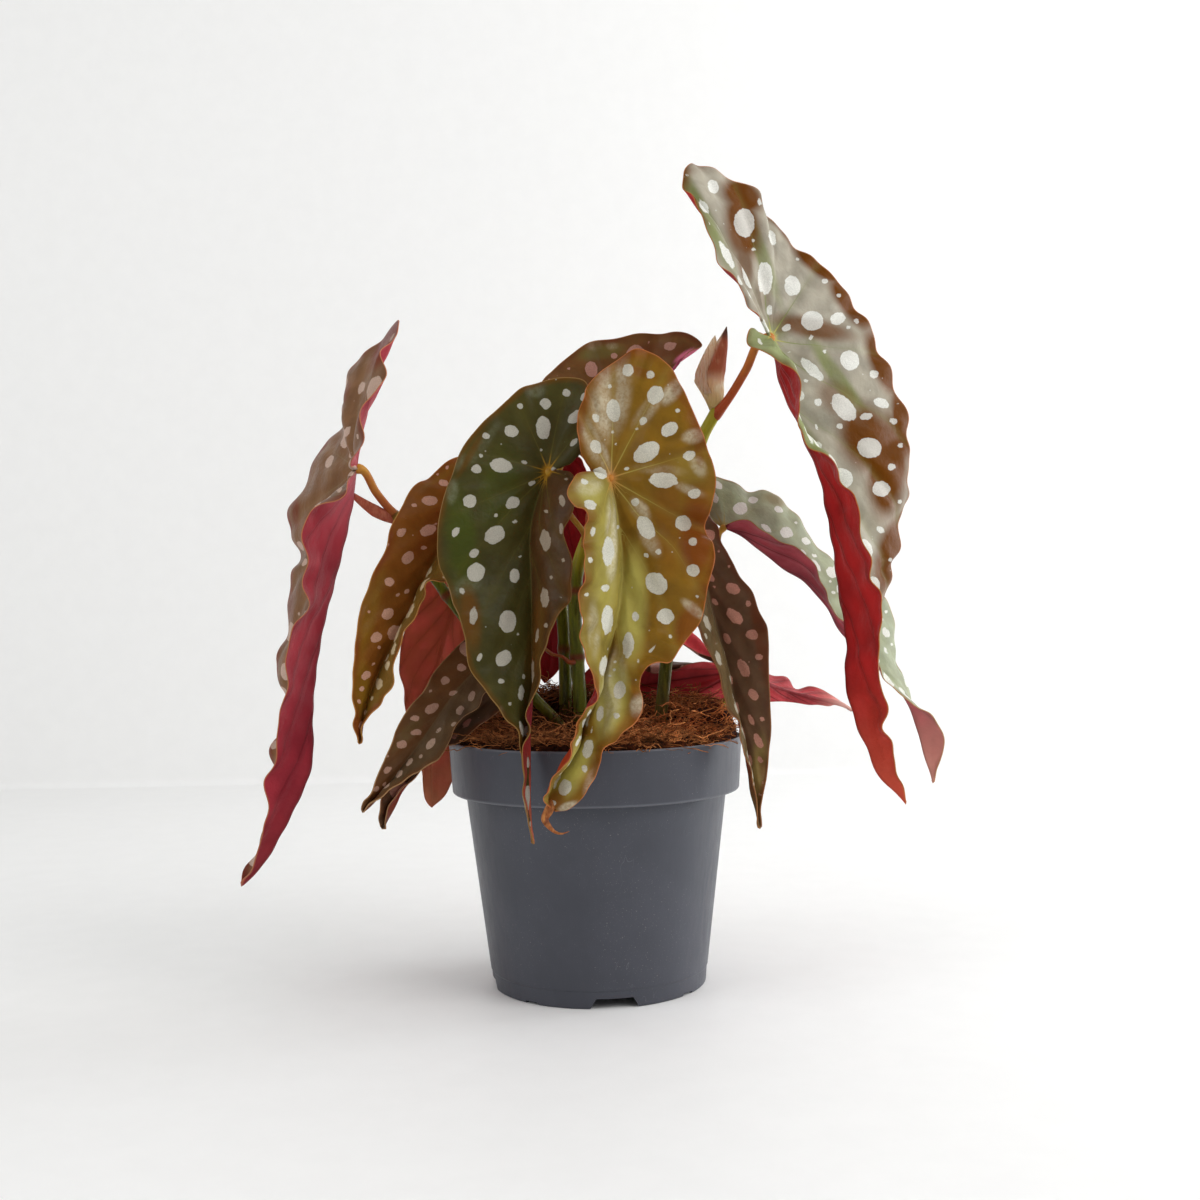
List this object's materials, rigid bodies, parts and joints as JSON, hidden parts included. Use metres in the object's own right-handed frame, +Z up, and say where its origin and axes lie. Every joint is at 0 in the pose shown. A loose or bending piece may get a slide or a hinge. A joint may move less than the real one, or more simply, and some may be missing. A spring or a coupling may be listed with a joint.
{
  "type": "potted begonia plant",
  "caption": "Spotted wing-leaved begonia on green canes in a slate-grey nursery pot filled with coir; a free-standing house plant",
  "frame": {"origin": "on the floor, on the pot's axis", "axes": "+Z up, -Y towards the viewer of the picture, +X to that viewer's right"},
  "size_m": [0.2947, 0.1717, 0.3281],
  "materials": {
    "pot_plastic": "satin slate-grey injection-moulded polypropylene, lightly scuffed",
    "coir_fibre": "loose rust-brown coconut fibre",
    "stem_green": "smooth green cane with brown rings, orange-pink petioles",
    "sheath_papery": "dry papery pinkish-brown bud sheath",
    "leaf_olive": "satin olive-gold leaf with white spots and a red underside",
    "leaf_green": "satin dark green leaf with white spots and a red underside",
    "leaf_brown": "satin brown leaf with pinkish spots and a crimson underside",
    "leaf_copper": "satin copper-brown leaf with dusty pink spots",
    "leaf_dark": "satin dark brown leaf with dusty pink spots and a burgundy underside",
    "leaf_sage": "satin grey-green leaf with white spots, copper edges and a red underside"
  },
  "bodies": {
    "root": {"pot": "pot_plastic", "coir": "coir_fibre", "cane_left": "stem_green", "cane_centre_back": "stem_green", "cane_centre_front": "stem_green", "cane_right": "stem_green", "shoot_back_right": "stem_green", "shoot_sheath": "sheath_papery", "leaf_front_right": "leaf_olive", "leaf_front_left": "leaf_green", "leaf_far_left": "leaf_brown", "leaf_left_mid": "leaf_copper", "leaf_low_left_upper": "leaf_dark", "leaf_low_left_under": "leaf_dark", "leaf_back_left": "leaf_brown", "leaf_top_back": "leaf_brown", "leaf_top_right": "leaf_sage", "leaf_right_arch": "leaf_sage", "leaf_right_front": "leaf_dark", "leaf_back_right_low": "leaf_dark", "leaf_back_centre": "leaf_dark"}
  },
  "joints": []
}
